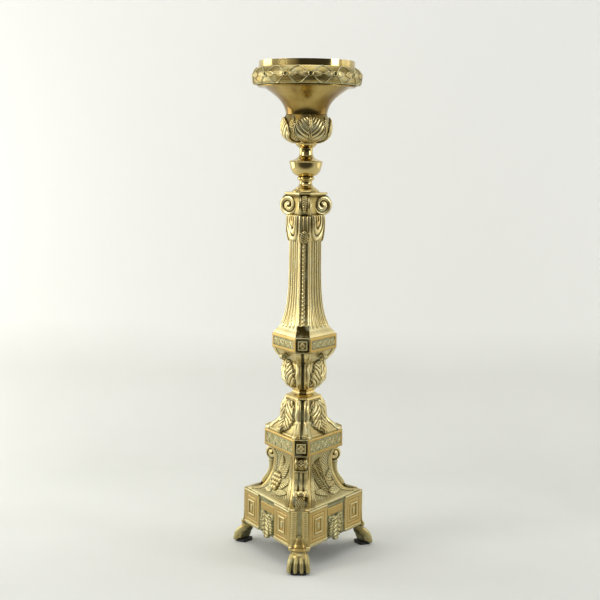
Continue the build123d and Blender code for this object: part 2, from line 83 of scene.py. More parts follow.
def step_up(x, at, width):
    """A steep shoulder that rises from 0 to 1 as x passes at."""
    return smooth((x - at) / width + 0.5)


def bump(x, centre, half_width):
    """A round ridge of height 1 that falls to 0 at half_width from its centre."""
    return np.sqrt(unit(1 - ((x - centre) / half_width) ** 2))


def bell(x, width):
    """A soft ridge of height 1 at 0 with long tails."""
    return np.exp(-((x / width) ** 2))


def inside_box(x, y, half_x, half_y, soft=0.5):
    """1 inside a box about the middle and 0 outside, with a soft edge."""
    return step_up(half_x - abs(x), 0, soft) * step_up(half_y - abs(y), 0, soft)


def stacked(*axes):
    """Points from their coordinates, each stretched to the same grid."""
    return np.stack(np.broadcast_arrays(*axes), -1)


def travelled(line):
    """Distance gone along an outline of (height, radius, ...) rows, at each row."""
    return np.append(0, np.cumsum(np.hypot(*np.diff(line[:, :2], axis=0).T)))


def flow(t, values, at):
    """Smooth values through a few knots, with no overshoot between them."""
    step = np.diff(t)
    slope = np.diff(values) / step
    both = slope[:-1] * slope[1:]
    safe = np.where(both > 0, slope[:-1] + slope[1:], 1)
    inner = np.where(both > 0, 2 * both / safe, 0)
    tangent = np.concatenate([slope[:1], inner, slope[-1:]])
    i = np.clip(np.searchsorted(t, at, side="right") - 1, 0, len(step) - 1)
    h = step[i]
    u = (at - t[i]) / h
    rise = values[i + 1] - values[i]
    a = tangent[i] * h - rise
    b = -tangent[i + 1] * h + rise
    return values[i] + u * rise + u * (1 - u) * ((1 - u) * a + u * b)


def profile(rows, count):
    """Even steps along the outline given by a few rows of (height, radius, ...)."""
    rows = np.asarray(rows, float)
    t = travelled(rows)
    at = np.linspace(0, t[-1], count)
    return np.stack([flow(t, column, at) for column in rows.T], 1)


def outline(rows, count):
    """Even steps along (height, corner, half strip, bow) rows, where the bow may be left out."""
    return profile([(*row, 0)[:4] for row in rows], count)


def straight(rows, steps):
    """The same rows joined by straight lines, each cut into its own number of steps."""
    rows = np.array([(*row, 0)[:4] for row in rows])
    pieces = [np.linspace(a, b, n, endpoint=False) for a, b, n in zip(rows[:-1], rows[1:], steps)]
    return np.concatenate([*pieces, rows[-1:]])


def blur(field, passes, wrap=True):
    """Soft copy of a field, whose columns may wrap round."""
    out = field.copy()
    for _ in range(passes):
        if wrap:
            out = (np.roll(out, 1, 1) + 2 * out + np.roll(out, -1, 1)) / 4
        padded = np.pad(out, ((1, 1), (0, 0)), mode="edge")
        out = (padded[:-2] + 2 * padded[1:-1] + padded[2:]) / 4
    return out


# ---- Meshes ----

# The first field is painted shade: how far each point is darkened for hollows, creases, insides and sides
# turned from the light. gold is gilt and dust is pale dust.
FIELDS = ("recess", "gold", "dust")


def part(points, quads, triangles=(), **fields):
    """Points in millimetres with their faces, and the named values that the materials read."""
    count = len(points)
    values = {f: np.broadcast_to(fields.get(f, 0), (count,)).astype(float) for f in FIELDS}
    quads = np.asarray(quads, np.int64).reshape(-1, 4)
    triangles = np.asarray(triangles, np.int64).reshape(-1, 3)
    return {"points": np.asarray(points, float), "quads": quads, "triangles": triangles, **values}


def rotated(piece, angle):
    """A copy turned about the stem's axis."""
    c, s = cos(radians(angle)), sin(radians(angle))
    return {**piece, "points": piece["points"] @ ((c, s, 0), (-s, c, 0), (0, 0, 1))}


def thrice(piece):
    """The piece and its two copies, a third of a turn apart."""
    return [rotated(piece, turn) for turn in CORNER_TURNS.values()]


def shifted(piece, sideways):
    """A front-corner piece slid sideways."""
    return {**piece, "points": piece["points"] + (sideways, 0, 0)}


def placed(name, data):
    """A new object in the scene."""
    thing = bpy.data.objects.new(name, data)
    bpy.context.scene.collection.objects.link(thing)
    return thing


def joined(name, parts):
    """One smooth object made of several parts."""
    first = np.cumsum([0] + [len(p["points"]) for p in parts])[:-1]
    faces = []
    for kind in ("quads", "triangles"):
        for piece, i in zip(parts, first):
            faces += (piece[kind] + i).tolist()
    mesh = bpy.data.meshes.new(name)
    mesh.from_pydata(np.concatenate([p["points"] for p in parts]) * MM, [], faces)
    mesh.shade_smooth()
    for label in FIELDS:
        layer = mesh.attributes.new(label, "FLOAT", "POINT")
        layer.data.foreach_set("value", np.concatenate([p[label] for p in parts]).astype(np.float32))
    return placed(name, mesh)


def stand_in(node, *parts):
    """Joins parts into the casting seen in place of a CAD node of the stand."""
    piece = joined(node + "_cast", parts)
    piece.data.materials.append(CAST)
    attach(piece, "stand")
    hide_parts(node)


def on_corners(kind, *parts):
    """The same front-corner parts on each corner."""
    for name, turn in CORNER_TURNS.items():
        stand_in(f"{kind}_{name}", *(rotated(p, turn) for p in parts))


def on_faces(kind, *patches):
    """A patch made for the back face on each face, in the order of FACES."""
    for (name, angle), patch in zip(FACES.items(), patches):
        stand_in(f"{kind}_{name}", rotated(patch, angle - 90))


def grid_quads(rows, columns, wrap=True, loop=False):
    """Faces of a grid. wrap closes each row into a ring, and loop joins the last row to the first."""
    r, c = np.meshgrid(np.arange(rows - 1 + loop), np.arange(columns - 1 + wrap), indexing="ij")
    here, above, after = r * columns, (r + 1) % rows * columns, (c + 1) % columns
    return np.stack([here + c, here + after, above + after, above + c], -1).reshape(-1, 4)


def normals(points, wrap=True):
    """Unit normals of a grid of points."""
    if wrap:
        along = np.roll(points, -1, 1) - np.roll(points, 1, 1)
    else:
        along = np.gradient(points, axis=1)
    n = np.cross(along, np.gradient(points, axis=0))
    return n / np.maximum(np.linalg.norm(n, axis=2, keepdims=True), 1e-9)


def hollows(height, reach=6, wrap=True):
    """How deep each spot lies below the surface round it, from 0 to 1."""
    # Used as painted shade: the deeper a spot lies, the darker it is painted.
    return unit((blur(height, reach, wrap) - height) * 2.4 + 0.15)


def capped(points, end_value, **fields):
    """A wrapped grid closed at both ends by a fan of triangles round a point."""
    rows, columns = points.shape[:2]
    turn = np.arange(columns)
    after = (turn + 1) % columns
    low, high, top = rows * columns, rows * columns + 1, (rows - 1) * columns
    triangles = np.concatenate([
        np.stack([np.full(columns, low), after, turn], 1),
        np.stack([np.full(columns, high), top + turn, top + after], 1),
    ])
    every = np.concatenate([points.reshape(-1, 3), points[[0, -1]].mean(1)])
    ends = [end_value, end_value]
    values = {k: np.append(np.broadcast_to(v, (rows, columns)).ravel(), ends) for k, v in fields.items()}
    return part(every, grid_quads(rows, columns), triangles, **values)


def casting(base, height, **fields):
    """A round or three-sided form: a wrapped grid raised by height and closed at both ends."""
    return capped(base + normals(base) * height[..., None], 0.3, **{"recess": hollows(height), **fields})


def plaque(base, height, sunk=1.2, keep=None, **fields):
    """A patch of relief: a grid raised by height over a flat back, cut to the points to keep."""
    out = normals(base, wrap=False)
    front = base + out * height[..., None]
    back = base - out * sunk
    rows, columns = height.shape
    count = rows * columns
    face = grid_quads(rows, columns, wrap=False)
    if keep is not None:
        face = face[keep.ravel()[face].any(1)]
    edges = np.concatenate([face[:, (i, (i + 1) % 4)] for i in range(4)])
    forward, backward = edges @ (count, 1), edges @ (1, count)
    a, b = edges[~np.isin(forward, backward)].T
    rim = np.stack([a, a + count, b + count, b], 1)
    used, faces = np.unique(np.concatenate([face, face[:, ::-1] + count, rim]), return_inverse=True)
    values = {"recess": hollows(height, 5, False), **fields}
    values = {k: np.tile(np.broadcast_to(v, height.shape).ravel(), 2)[used] for k, v in values.items()}
    points = np.concatenate([front.reshape(-1, 3), back.reshape(-1, 3)])[used]
    return part(points, faces.reshape(-1, 4), **values)


def cut_out(base, height, least, lift, floor, sunk, shade, dusty, fade):
    """A plaque cut along the edge of its relief, with dust that thins out towards the top."""
    keep = height > least
    recess = unit(shade * hollows(height, 5, False))
    raised = np.where(keep, height + lift, floor)
    return plaque(base, raised, sunk, keep, recess=recess, dust=unit(dusty - height / fade))


def corner_strip(line, widths, columns):
    """A strip down the front corner as a grid, and the place across it from -1 to 1."""
    z, r = line[:, :1], line[:, 1:2]
    t = np.linspace(-1, 1, columns)[None]
    return stacked(np.interp(z, *widths) * t, -r, z), t


def in_direction(angle):
    """Outward and sideways unit vectors of a direction in plan."""
    a = radians(angle)
    return (cos(a), sin(a)), (-sin(a), cos(a))


class ThreeSided:
    """A grid over a three-sided form: a short strip on each corner, then a long face.

    t runs from -1 to 1 across each strip or face, x is the same in millimetres, z is the
    height and up is the distance travelled along the outline.
    """

    def __init__(self, line, face_steps, corner_steps, soften=2):
        z, corner, half, bow = (line[:, i : i + 1] for i in range(4))
        side = corner * ROOT3 / 2 - half / 2
        away = corner / 2 + half * ROOT3 / 2
        xy, t, x, on_corner = [], [], [], []
        strip, face = (0, corner, half, 0, corner_steps), (60, away, side, bow, face_steps)
        for angle, (turn, far, wide, bulge, steps) in product(CORNERS, (strip, face)):
            across = np.linspace(-1, 1, steps, endpoint=False)[None]
            out, along = in_direction(angle + turn)
            reach = far + bulge * (1 - across**2)
            xy.append(reach[..., None] * out + (wide * across)[..., None] * along)
            t.append(across)
            x.append(wide * across)
            on_corner.append(np.full(steps, turn == 0))
        xy = np.concatenate(xy, 1)
        heights = np.broadcast_to(z[..., None], (*xy.shape[:2], 1))
        self.base = np.concatenate([xy, heights], 2)
        for _ in range(soften):
            self.base = (np.roll(self.base, 1, 1) + 2 * self.base + np.roll(self.base, -1, 1)) / 4
        self.t, self.x = np.concatenate(t, 1), np.concatenate(x, 1)
        self.on_corner = np.concatenate(on_corner)[None]
        self.z = np.broadcast_to(z, self.x.shape)
        self.up = np.broadcast_to(travelled(line)[:, None], self.x.shape)
        self.side, self.half = side, half

    def pick(self, corner, face):
        """One value on the corner strips and another on the faces."""
        return np.where(self.on_corner, corner, face)

    def cast(self, height, **fields):
        """The form as a casting with its relief raised by height."""
        return casting(self.base, np.broadcast_to(height, self.x.shape), **fields)


def volute(centre, reach, rise, width, turns, rim_dip, face_lift, steps):
    """A scroll on the front corner: spiral sides and a channelled rim, as one wrapped grid."""
    rho = np.concatenate([np.linspace(0.02, 0.97, 26), np.ones(17), np.linspace(0.97, 0.02, 26)])
    across = np.concatenate([np.full(26, -1), np.linspace(-1, 1, 17), np.full(26, 1)])
    phi = np.linspace(0, 2 * pi, steps, endpoint=False)
    rho, phi = np.meshgrid(rho, phi, indexing="ij")
    across = np.broadcast_to(across[:, None], rho.shape)
    lap = (rho * turns + phi / (2 * pi)) % 1
    ridge = np.sin(pi * lap) ** 0.6 - 0.6
    eye_size = 0.26
    on_side = abs(across) > 0.999
    lift = np.where(on_side, face_lift * np.where(rho < eye_size, bump(rho, 0, eye_size), ridge), 0)
    lift = np.where(rho > 0.93, np.minimum(lift, -0.2), lift)
    dip = rim_dip * unit(1 - (across / 0.7) ** 2) ** 0.7 + 0.7 * abs(across) ** 8
    size = np.where(on_side, rho, 1 - dip / reach)
    out = centre[0] + reach * size * np.cos(phi)
    high = centre[1] + rise * size * np.sin(phi)
    sideways = across * width / 2 + np.sign(across) * lift
    # Painted shade: the grooves of the spirals and the channel of the rim are painted darker.
    recess = np.where(on_side, unit(0.25 - ridge * 1.1), np.clip(dip / 1.4, 0, 0.5))
    return capped(np.stack([sideways, -out, high], -1), 0.1, recess=recess)


# ---- Ornament, as heights in millimetres over flat coordinates ----


def leaf(x, y, half, length, lift, pitch, rise=0.9):
    """A broad leaf that grows up from y = 0: midrib, slanting veins and a smooth rolled edge."""
    v = unit(y / length)
    phase = (y - rise * abs(x) + 0.35 * rise * x**2 / half) / pitch
    wide = np.sin(pi * (0.16 + 0.84 * v) ** 0.9) ** 0.6
    edge = half * wide * (0.93 + 0.07 * np.cos(2 * pi * phase))
    u = abs(x) / np.maximum(edge, 0.1)
    crown = np.sqrt(unit(1 - u**2))
    veins = abs(np.cos(pi * phase)) ** 0.8 * (u < 0.84) * (abs(x) > 0.08 * half)
    blade = 0.10 + 0.35 * crown + 0.50 * veins + 0.35 * bell(u - 0.88, 0.09)
    blade = blade + 0.40 * bell(x, 0.07 * half + 0.3)
    return lift * blade * smooth((1 - u) * 7) * smooth(y / 1.2) * smooth((length - y) / 1.2)


def leaning(x, z, foot, lean, length, bend):
    """Distances across and along a line that starts at foot, leans over and bends."""
    c, s = cos(lean), sin(lean)
    dx, dz = x - foot[0], z - foot[1]
    across, along = c * dx - s * dz, s * dx + c * dz
    return across - bend * (np.clip(along, 0, length) / length) ** 2, along


def placed_leaf(x, z, foot, lean, half, length, lift, bend):
    """A leaf whose foot is set down at a point, leaning to one side and bent along its length."""
    return leaf(*leaning(x, z, foot, lean, length, bend), half, length, lift, 4.4, 1.3)


def spray(x, z, leaves):
    """The highest of several placed leaves at each spot."""
    return np.maximum.reduce([placed_leaf(x, z, *row) for row in leaves])


def vine(x, y, tall, pitch, lift):
    """A running scroll: a waving stem with a curled shoot and a leaf in each bend."""
    beat = x / pitch * 2 * pi
    slope = np.sqrt(1 + (0.30 * tall * 2 * pi / pitch * np.cos(beat)) ** 2)
    height = bump((y - 0.30 * tall * np.sin(beat)) / slope, 0, 0.8)
    for side in (1, -1):
        dx = (x - (0.5 - 0.25 * side) * pitch + pitch / 2) % pitch - pitch / 2
        dy = (y + side * 0.10 * tall) * side
        r, a = np.hypot(dx, dy), np.arctan2(dy, dx)
        lap = (r / 2 - a / (2 * pi)) % 1
        height = np.maximum(height, np.where(r < 0.30 * tall, np.sin(pi * lap), 0))
        dx, dy = dx - 0.25 * pitch, dy - 0.30 * tall
        r, a = np.hypot(dx, dy), np.arctan2(dy, dx)
        petal = 0.26 * tall * (0.62 + 0.38 * np.cos(3 * a + 1))
        height = np.maximum(height, bump(r / petal, 0, 1))
    return lift * height


def rosette(x, y, radius, lift):
    """A small flower: four round petals and a button."""
    r, a = np.hypot(x, y), np.arctan2(y, x)
    reach = radius * (0.62 + 0.38 * abs(np.cos(2 * a)))
    petal = np.sqrt(unit(1 - ((r - 0.55 * reach) / (0.5 * reach)) ** 2))
    return lift * np.maximum(petal * (r < reach), bump(r, 0, 0.26 * radius))


# ---- Stage, camera and light ----

CAMERA_AWAY, CAMERA_HEIGHT, CAMERA_LEFT = 1.8327, 0.5692, 0.00627
CORNER_TURN, CAMERA_PITCH, CAMERA_ROLL = radians(2.31), radians(6.31), radians(0.63)
LENS, SENSOR = 78, 36

STAGE_BACK, STAGE_FRONT, STAGE_SIDE, STAGE_TOP = 0.62, -2.6, 3.4, 2.4
SWEEP_R, SWEEP_STEPS = 0.16, 14
# Painted shade: the floor sheet is painted greyer than the wall.
SHADED_FLOOR_COLOUR, WALL_COLOUR, PAINTED_SHADE_FLOOR = (0.635, 0.64, 0.60), (0.94, 0.945, 0.915), (0.05, 0.045, 0.04)
FLOOR_EDGE, WALL_EDGE = 0.02, 0.30
# Painted shade: between these two depths the floor near the camera turns nearly black.
PAINTED_SHADE_END, PAINTED_SHADE_START = -1, -0.55

DIM_DIRECTION = radians(22)
ROOM_AROUND = ((0.35, (0.80, 0.79, 0.74)), (0.62, (0.62, 0.60, 0.54)), (0.80, (0.05, 0.045, 0.035)))
ROOM_ABOVE = ((0.1, (0.45, 0.44, 0.40)), (0.8, (0.90, 0.92, 0.95)))
ROOM_STRENGTH = 0.65

MIDDLE = (0, 0, 0.38)
LIGHTS = {  # place, aim, size in metres, power in watts and colour
    "key": ((-1.45, -0.95, 1.25), MIDDLE, 0.75, 13, (1, 0.985, 0.95)),
    "window": ((-1.16, 0.36, 0.50), MIDDLE, 0.76, 5.6, (1, 0.99, 0.95)),
    "side": ((1.16, 0.36, 0.50), MIDDLE, 0.76, 1.7, (1, 0.99, 0.95)),
    "fill": ((1.60, -0.55, 0.90), MIDDLE, 0.6, 6, (0.96, 0.98, 1)),
    "top": ((0, -0.5, 2.1), (0, 0.1, 0.3), 1, 3, (1, 1, 1)),
    "wall": ((0, 0, 1.9), (0, 0.62, 0.7), 1.4, 6, (1, 1, 1)),
}


def add_camera():
    """A long lens at a little above half height, nearly in front of one corner."""
    s, c = sin(CORNER_TURN), cos(CORNER_TURN)
    data = bpy.data.cameras.new("camera")
    data.lens, data.sensor_width = LENS, SENSOR
    camera = placed("camera", data)
    across, back = CAMERA_AWAY * s - CAMERA_LEFT * c, -CAMERA_AWAY * c - CAMERA_LEFT * s
    place = Matrix.Translation((across, back, CAMERA_HEIGHT))
    aim = Matrix.Rotation(CORNER_TURN, 4, "Z") @ Matrix.Rotation(pi / 2 - CAMERA_PITCH, 4, "X")
    camera.matrix_world = place @ aim @ Matrix.Rotation(CAMERA_ROLL, 4, "Z")
    bpy.context.scene.camera = camera


def add_light(name, place, aim, size, power, colour):
    data = bpy.data.lights.new(name, "AREA")
    data.shape, data.size = "SQUARE", size
    data.energy, data.color = power, colour
    light = placed(name, data)
    light.location = place
    light.rotation_euler = (Vector(aim) - Vector(place)).to_track_quat("-Z", "Y").to_euler()


def add_stage():
    """A pale sheet that sweeps up into a pale wall."""
    line = [(STAGE_FRONT, 0)]
    for i in range(SWEEP_STEPS + 1):
        a = pi / 2 * i / SWEEP_STEPS
        line.append((STAGE_BACK - SWEEP_R + SWEEP_R * sin(a), SWEEP_R - SWEEP_R * cos(a)))
    line.append((STAGE_BACK, STAGE_TOP))
    points = [(x / MM, y / MM, z / MM) for y, z in line for x in (-STAGE_SIDE, STAGE_SIDE)]
    sweep = joined("stage_sweep", [part(points, grid_quads(len(line), 2, wrap=False))])
    sweep.data.materials.append(stage_plaster())


def add_room():
    """A pale room with one dim stretch behind the camera, which polished metal shows as a streak."""
    world = bpy.data.worlds.new("room")
    world.use_nodes = True
    graph = Graph(world.node_tree)
    place = graph.position("Generated")
    towards = graph.math("MULTIPLY", place["X"], sin(DIM_DIRECTION))
    towards = graph.math("MULTIPLY_ADD", place["Y"], -cos(DIM_DIRECTION), towards)
    around = graph.ramp(towards, ROOM_AROUND)
    above = graph.ramp(place["Z"], ROOM_ABOVE)
    graph.feed(graph.nodes["Background"], Color=graph.mix(place["Z"], around, above), Strength=ROOM_STRENGTH)
    bpy.context.scene.world = world
    bpy.context.scene.view_settings.view_transform = "Standard"


# ---- Materials ----


class Graph:
    """Short calls that add nodes to a material or a world and link them."""

    def __init__(self, tree):
        self.nodes, self.links = tree.nodes, tree.links

    def add(self, kind):
        return self.nodes.new("ShaderNode" + kind)

    def put(self, slot, value):
        """Links an output to a slot, or sets the slot to a plain value."""
        if isinstance(value, bpy.types.NodeSocket):
            self.links.new(value, slot)
        else:
            slot.default_value = value

    def feed(self, node, **values):
        """Puts values into the inputs they are named after, with _ for a space."""
        for name, value in values.items():
            self.put(node.inputs[name.replace("_", " ")], value)

    def position(self, space):
        """X, Y and Z of the shaded point."""
        where, split = self.add("TexCoord"), self.add("SeparateXYZ")
        self.feed(split, Vector=where.outputs[space])
        return split.outputs

    def noise(self, scale, detail, stretch=(1, 1, 1)):
        """Noise in the object's own space, from 0 to 1."""
        where, place, noise = self.add("TexCoord"), self.add("Mapping"), self.add("TexNoise")
        self.feed(place, Scale=stretch, Vector=where.outputs["Object"])
        self.feed(noise, Scale=scale, Detail=detail, Vector=place.outputs["Vector"])
        return noise.outputs["Fac"]

    def ramp(self, value, stops):
        """A colour that runs through (place, colour) stops."""
        ramp = self.add("ValToRGB")
        band = ramp.color_ramp
        while len(band.elements) < len(stops):
            band.elements.new(0.5)
        for element, (at, colour) in zip(band.elements, stops):
            element.position, element.color = at, (*colour, 1)
        self.feed(ramp, Fac=value)
        return ramp.outputs["Color"]

    def mix(self, factor, first, second):
        """Blend of two colours; the second may be a plain colour."""
        mix = self.add("Mix")
        mix.data_type = "RGBA"
        second = (*second, 1) if isinstance(second, tuple) else second
        self.feed(mix, Factor=factor, A=first, B=second)
        return mix.outputs["Result"]

    def math(self, kind, *values, clamp=False):
        node = self.add("Math")
        node.operation, node.use_clamp = kind, clamp
        for slot, value in zip(node.inputs, values):
            self.put(slot, value)
        return node.outputs[0]

    def field(self, label):
        """One of the values that joined() wrote on the points."""
        node = self.add("Attribute")
        node.attribute_name = label
        return node.outputs["Fac"]

    def dents(self, shader, height, strength):
        """Fine unevenness in the light on a surface."""
        dent = self.add("Bump")
        self.feed(dent, Strength=strength, Distance=0.3 * MM, Height=height)
        self.feed(shader, Normal=dent.outputs["Normal"])


def new_material(name):
    material = bpy.data.materials.new(name)
    material.use_nodes = True
    return material, Graph(material.node_tree), material.node_tree.nodes["Principled BSDF"]


def stage_plaster():
    """Matt plaster, painted greyer on the floor as shade, painted dark near the camera out of its view as
    shade for polished metal to reflect, clear from behind.
    """
    material, graph, shader = new_material("stage_plaster")
    place = graph.position("Object")
    height = graph.math("MULTIPLY_ADD", graph.noise(3, 4), 0.1, place["Z"])
    # Painted shade: the plaster runs from the grey floor tone up to the pale wall tone.
    plaster = graph.ramp(height, ((FLOOR_EDGE, SHADED_FLOOR_COLOUR), (WALL_EDGE, WALL_COLOUR)))
    # Painted shade: the floor near the camera, out of its view, is painted nearly black so that polished
    # metal reflects a dark room there.
    near = graph.math("SUBTRACT", PAINTED_SHADE_START, place["Y"])
    near = graph.math("DIVIDE", near, PAINTED_SHADE_START - PAINTED_SHADE_END, clamp=True)
    graph.feed(shader, Base_Color=graph.mix(near, plaster, PAINTED_SHADE_FLOOR), Roughness=0.9)
    facing, clear, either = graph.add("NewGeometry"), graph.add("BsdfTransparent"), graph.add("MixShader")
    graph.feed(either, Fac=facing.outputs["Backfacing"])
    graph.put(either.inputs[1], shader.outputs["BSDF"])
    graph.put(either.inputs[2], clear.outputs["BSDF"])
    graph.feed(graph.nodes["Material Output"], Surface=either.outputs["Shader"])
    return material


GILT = (0.48, 0.295, 0.055)
DUST = (0.44, 0.45, 0.25)
CHALK = (0.60, 0.60, 0.38)
CREVICE = 6 * MM


def brass(name, bright, body, deep, rough, tarnish, stain, mottle=0.14, streak=1, bloom=0):
    """Aged brass: rubbed high spots, brown tarnish in patches, and painted shade in the hollows, which are
    also made duller.
    """
    material, graph, shader = new_material(name)
    # Painted shade: ambient occlusion and the per-point shade field darken the colour in hollows, creases
    # and other places where shade falls.
    shade = graph.add("AmbientOcclusion")
    shade.samples = 6
    graph.feed(shade, Distance=CREVICE)
    closed = graph.math("SUBTRACT", 1, shade.outputs["AO"])
    recess = graph.math("MULTIPLY_ADD", closed, 0.55, graph.field("recess"))
    patches = graph.noise(26, 6, (1, 1, streak))
    grain = graph.noise(420, 5)
    worn = graph.math("MULTIPLY_ADD", grain, 0.30, -0.15)
    # Painted shade and random wear pick the tone: the ramp runs from the light tone of open surfaces to the
    # near-black third colour, the painted shade tone.
    shade_and_wear = graph.math("ADD", recess, worn, clamp=True)
    tone = graph.ramp(shade_and_wear, ((0, bright), (0.26, body), (0.60, deep), (1, deep)))
    spots = graph.math("MULTIPLY_ADD", patches, 3 * tarnish, -1.15 * tarnish, clamp=True)
    tone = graph.mix(spots, tone, stain)
    chalky = graph.math("MULTIPLY_ADD", graph.noise(75, 5), 4 * bloom, -1.95 * bloom, clamp=True)
    tone = graph.mix(chalky, tone, CHALK)
    tone = graph.mix(graph.field("gold"), tone, GILT)
    tone = graph.mix(graph.field("dust"), tone, DUST)
    metal = graph.math("MULTIPLY_ADD", graph.field("dust"), -0.65, 1, clamp=True)
    dull = graph.math("MULTIPLY_ADD", shade_and_wear, 0.30, rough)
    dull = graph.math("MULTIPLY_ADD", patches, mottle, dull)
    dull = graph.math("MULTIPLY_ADD", graph.field("dust"), 0.25, dull, clamp=True)
    graph.feed(shader, Base_Color=tone, Metallic=metal, Roughness=dull)
    graph.dents(shader, grain, 0.16)
    return material


def plain_part(name, light, dark, rough, metallic, scale):
    """A dull working part with mottled colour and a fine grain."""
    material, graph, shader = new_material(name)
    mottle = graph.noise(scale, 6)
    tone = graph.ramp(mottle, ((0.35, dark), (0.7, light)))
    dull = graph.math("MULTIPLY_ADD", mottle, 0.3, rough)
    graph.feed(shader, Base_Color=tone, Metallic=metallic, Roughness=dull)
    graph.dents(shader, mottle, 0.3)
    return material


# Each brass has a light, a middle and a near-black tone; the near-black one is the painted shade tone of
# hollows.
CAST = brass(
    "brass_cast", (0.88, 0.74, 0.37), (0.52, 0.40, 0.14), (0.035, 0.025, 0.006),
    rough=0.22, tarnish=0.36, stain=(0.30, 0.20, 0.05), bloom=0.55,
)
TURNED = brass(
    "brass_turned", (0.68, 0.54, 0.23), (0.46, 0.33, 0.10), (0.06, 0.04, 0.01),
    rough=0.07, tarnish=0.60, stain=(0.27, 0.18, 0.045), mottle=0.08,
)
BELL = brass(
    "brass_bell", (0.52, 0.38, 0.12), (0.36, 0.25, 0.065), (0.06, 0.04, 0.01),
    rough=0.09, tarnish=1.15, stain=(0.22, 0.13, 0.03), mottle=0.12, streak=0.35,
)
SLOT_LOOKS = {
    "aged_brass": CAST,
    "polished_brass": TURNED,
    "iron": plain_part("iron_rusted", (0.16, 0.12, 0.09), (0.05, 0.04, 0.035), 0.45, 0.8, 300),
    "steel": plain_part("steel_dull", (0.45, 0.43, 0.40), (0.22, 0.20, 0.18), 0.30, 1, 500),
    "pad": plain_part("pad_black", (0.035, 0.033, 0.03), (0.012, 0.012, 0.012), 0.60, 0, 700),
}


def dress_cad_nodes():
    """Every CAD node takes its slot's material, and the bell cup a browner brass of its own."""
    slots = {s["node"]: s["material_slot"] for s in frame["record"]["subparts"]}
    for name, node in frame["nodes"].items():
        node.data.materials.clear()
        node.data.materials.append(BELL if name == "bell_cup" else SLOT_LOOKS[slots[name]])


# ---- Bands ----

FILLET = 4.2
CORNER_SQUARE = 6.6


def frieze_band(node, corner, half, pitch):
    """Gilt fillets round a dusty scroll on each face, and a square flower on each corner."""
    low, high = low_high(node)
    tall, middle = high - low, (high + low) / 2
    form = ThreeSided(outline(((low, corner, half), (high, corner, half)), 70), 200, 44)
    x, y, side = form.x, form.z - middle, form.side
    opening = inside_box(x, y, side - FILLET, tall / 2 - FILLET)
    scroll = vine(x, y, tall - 2 * FILLET, pitch, 1.5)
    scroll = scroll * inside_box(x, y, side - FILLET - 0.8, tall / 2 - FILLET - 0.4)
    face = -1.4 * opening + scroll + 0.4 * inside_box(x, y, side - 1, tall / 2 - 1, 0.8)
    dish = inside_box(x, y, form.half - 1.1, tall / 2 - 1)
    block = inside_box(x, y, CORNER_SQUARE, CORNER_SQUARE)
    sunk = inside_box(x, y, CORNER_SQUARE - 1.7, CORNER_SQUARE - 1.7)
    flower = rosette(x, y, CORNER_SQUARE - 2, 1.3)
    height = form.pick(0.3 - 1.5 * dish + 3 * block - 1.1 * sunk + flower * sunk, face)
    rim = step_up(abs(y), tall / 2 - 1.2, 0.8)
    gold = form.pick(0, (1 - opening) * 0.82 * (1 - 0.5 * rim))
    dirt = form.pick(0.35 * (block - sunk), opening * (0.80 - 0.36 * scroll))
    # Painted shade: on each corner the sunk dish round the raised square is painted dark.
    round_block = form.on_corner & (block < 0.5)
    recess = np.where(round_block, 0.85 * dish, hollows(height, 4) * (1 - 0.25 * opening))
    stand_in(node, form.cast(height, gold=gold, dust=dirt, recess=recess))


# ---- Leaf dome and leaf vase ----


def leafy_face(form, y, length, pitch):
    """On each face a wavy leaf between smooth turned flanks, and one dark groove on each corner."""
    x, side, half, beat = form.x, form.side, form.half, 17
    sway = x + 0.9 * np.sin(2 * pi * y / beat)
    middle = leaf(sway, y, 0.80 * side, length, 3.4, pitch, 1.4)
    wave = 1.2 + 0.8 * np.cos(2 * pi * (y - 4) / beat)
    flank = 2.1 * bump(side - abs(x), wave + 0.03 * side, 0.13 * side + 0.6)
    height = form.pick(2 * smooth(abs(x) / half) ** 0.8, np.maximum(middle, flank))
    seam = bell(x, 1.5) * form.on_corner
    # Painted shade: the groove down each corner is painted dark, and the rest of each corner a little
    # darker.
    recess = form.pick(0.9 * seam + 0.10, unit(1.05 * hollows(height, 5)))
    return form.cast(height - 2.2 * seam, recess=recess, dust=0.25 * recess)


def leaf_dome():
    """Leaves that spread down to the lower band, with a curled tip on each face and corner knots."""
    low, high = low_high("leaf_dome")
    rows = (
        (low, 57, 8.5, 0.3), (low + 2, 57, 8.3, 0.4), (182, 52, 7.6, 0.8), (191, 40.2, 6.2, 2.6),
        (198, 34.4, 5.2, 4.4), (208, 33.6, 5, 5.4), (218, 31, 5, 4.2), (high, 24.8, 5.5, 1.5),
    )
    form = ThreeSided(outline(rows, 140), 130, 30, soften=3)
    top = form.up.max()
    tip = rotated(volute((34.6, 182.6), 5.4, 5.4, 9, 1.3, 0.5, 1.1, 48), 60)
    knot = volute((57.6, 180.4), 2.8, 3.4, 5, 1.2, 0.4, 0.7, 32)
    knots = [*thrice(shifted(knot, 3.9)), *thrice(shifted(knot, -3.9))]
    stand_in("leaf_dome", leafy_face(form, top - form.up - 3, top - 9, 8.4), *thrice(tip), *knots)


def leaf_vase():
    """Leaves that grow up from the waist, with a curled tip on each face."""
    low, high = low_high("leaf_vase")
    rows = (
        (low, 21.5, 5, 1.2), (248, 26.8, 5, 3), (254, 31.8, 5, 4.6), (264, 32.8, 5, 5.4),
        (278, 30.8, 5, 4), (285, 36.5, 6.2, 2.2), (291, 42.6, 7.6, 1), (high, 45.2, 9, 0.3),
    )
    form = ThreeSided(outline(rows, 150), 120, 30, soften=3)
    tip = rotated(volute((32.4, 287.6), 4.8, 4.6, 8, 1.3, 0.5, 1, 48), 60)
    stand_in("leaf_vase", leafy_face(form, form.up - 1, 46, 7.8), *thrice(tip))


# ---- Shaft and capital ----

FLUTES = 4
FLUTE_FIELD = 0.80
SCROLL_OUT, SCROLL_UP = 23.4, 501.3


